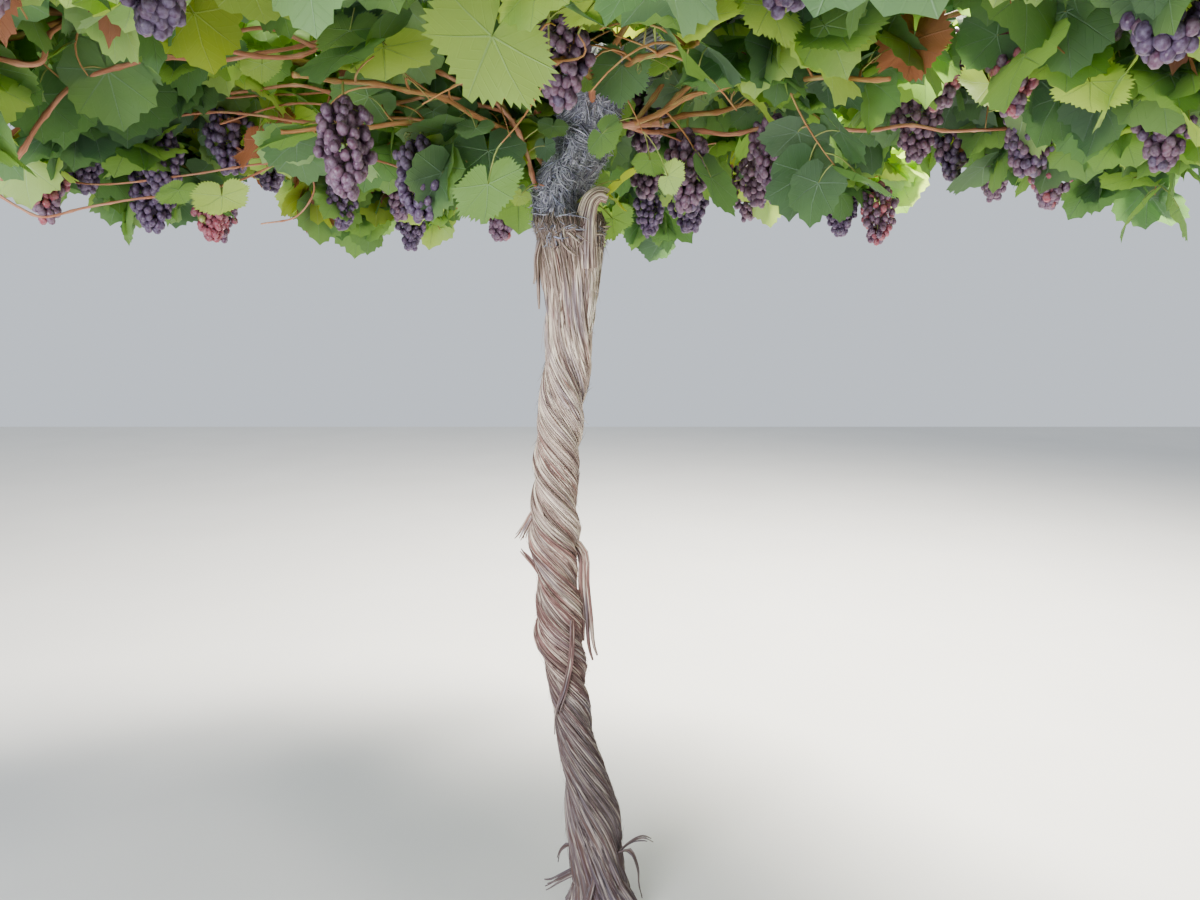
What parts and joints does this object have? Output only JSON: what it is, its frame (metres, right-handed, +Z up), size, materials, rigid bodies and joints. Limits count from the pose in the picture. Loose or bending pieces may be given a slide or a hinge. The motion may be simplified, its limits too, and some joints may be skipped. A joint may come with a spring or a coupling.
{
  "type": "grapevine",
  "caption": "Pergola grapevine: one tall twisted trunk with shaggy bark, a dark head with spreading arms, and a flat wide leafy crown with hanging bunches of grapes.",
  "frame": {"origin": "on the ground, at the middle of the flat cut under the trunk", "axes": "+Z up along the trunk, +X to the right and +Y away from the viewer in the picture's view"},
  "size_m": [2.9656, 2.9587, 2.2455],
  "materials": {
    "pale_bark": "matte",
    "dark_bark": "matte",
    "cane_bark": "satin",
    "foliage": "matte",
    "fruit": "satin"
  },
  "bodies": {
    "root": {"trunk": "pale_bark", "pruned_stub": "pale_bark", "head": "dark_bark", "arm_1": "dark_bark", "arm_2": "dark_bark", "arm_3": "dark_bark", "arm_4": "dark_bark", "cane_1": "cane_bark", "cane_2": "cane_bark", "cane_3": "cane_bark", "cane_4": "cane_bark", "cane_5": "cane_bark", "cane_6": "cane_bark", "cane_7": "cane_bark", "cane_8": "cane_bark", "inner_mass_right": "foliage", "inner_mass_back": "foliage", "inner_mass_left": "foliage", "inner_mass_front": "foliage", "outer_mass_1": "foliage", "outer_mass_2": "foliage", "outer_mass_3": "foliage", "outer_mass_4": "foliage", "outer_mass_5": "foliage", "outer_mass_6": "foliage", "outer_mass_7": "foliage", "outer_mass_8": "foliage"}
  },
  "joints": []
}
